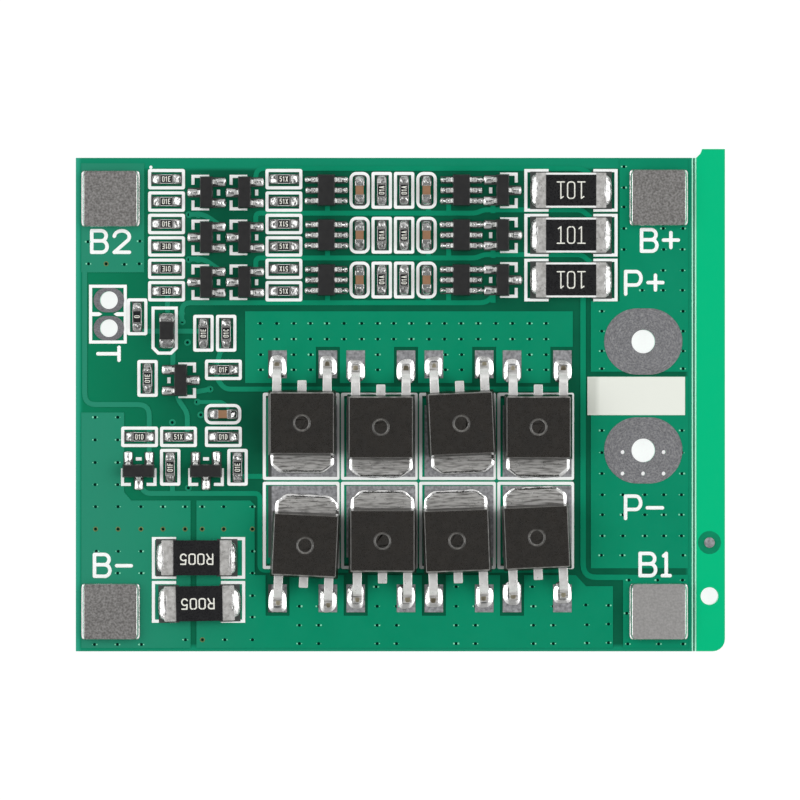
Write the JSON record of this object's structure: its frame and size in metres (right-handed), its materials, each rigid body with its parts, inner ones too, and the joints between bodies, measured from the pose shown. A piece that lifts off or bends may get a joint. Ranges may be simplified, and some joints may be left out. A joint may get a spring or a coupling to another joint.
{
  "type": "battery management board",
  "caption": "Green circuit board that guards and balances a lithium-ion pack: rows of power transistors, sensing circuits, shunt resistors, weld plates and load terminals.",
  "frame": {"origin": "middle of the board's outline, rail included, on its underside", "axes": "+X along the board towards the rail, +Y up the board towards the channel rows, +Z out of the populated side"},
  "size_m": [0.0588, 0.0454, 0.0036],
  "materials": {
    "laminate": "satin green solder mask on glass laminate",
    "masked_copper": "copper seen through satin green solder mask",
    "tinned_land": "dull tin-levelled land",
    "ink": "white printing ink",
    "cell_plate": "dull nickel with a fine grain",
    "solder": "bright reflowed solder",
    "moulding": "fine matt epoxy moulding",
    "small_moulding": "fine matt epoxy moulding",
    "lead": "tinned copper lead frame",
    "ceramic": "fired white alumina",
    "glaze": "black overglaze",
    "chip_end": "tinned end",
    "capacitor": "tan fired ceramic"
  },
  "bodies": {
    "root": {"board": "laminate", "masked_copper": "masked_copper", "tinned_lands": "tinned_land", "load_plus_land": "tinned_land", "load_minus_land": "tinned_land", "sensor_land_1": "tinned_land", "sensor_land_2": "tinned_land", "legend": "ink", "cell_plate_b2": "cell_plate", "cell_plate_b_plus": "cell_plate", "cell_plate_b_minus": "cell_plate", "cell_plate_b1": "cell_plate", "cell_plate_solder": "solder", "power_solder": "solder", "lead_solder": "solder", "chip_solder": "solder", "large_resistor_solder": "solder", "power_transistor_body_1": "moulding", "power_transistor_body_2": "moulding", "power_transistor_body_3": "moulding", "power_transistor_body_4": "moulding", "power_transistor_body_5": "moulding", "power_transistor_body_6": "moulding", "power_transistor_body_7": "moulding", "power_transistor_body_8": "moulding", "power_transistor_leadframe_1": "lead", "power_transistor_leadframe_2": "lead", "power_transistor_leadframe_3": "lead", "power_transistor_leadframe_4": "lead", "power_transistor_leadframe_5": "lead", "power_transistor_leadframe_6": "lead", "power_transistor_leadframe_7": "lead", "power_transistor_leadframe_8": "lead", "transistor_leads": "lead", "monitor_leads": "lead", "transistor_bodies": "small_moulding", "diode_body": "small_moulding", "monitor_circuit_1": "small_moulding", "monitor_circuit_2": "small_moulding", "monitor_circuit_3": "small_moulding", "monitor_circuit_4": "small_moulding", "monitor_circuit_5": "small_moulding", "monitor_circuit_6": "small_moulding", "chip_resistor_cores": "ceramic", "balance_resistor_1": "ceramic", "balance_resistor_2": "ceramic", "balance_resistor_3": "ceramic", "chip_resistor_glazes": "glaze", "balance_resistor_glazes": "glaze", "shunt_resistor_1": "glaze", "shunt_resistor_2": "glaze", "chip_resistor_ends": "chip_end", "capacitor_ends": "chip_end", "diode_ends": "chip_end", "balance_resistor_ends": "chip_end", "shunt_resistor_ends": "chip_end", "capacitor_bodies": "capacitor"}
  },
  "joints": []
}
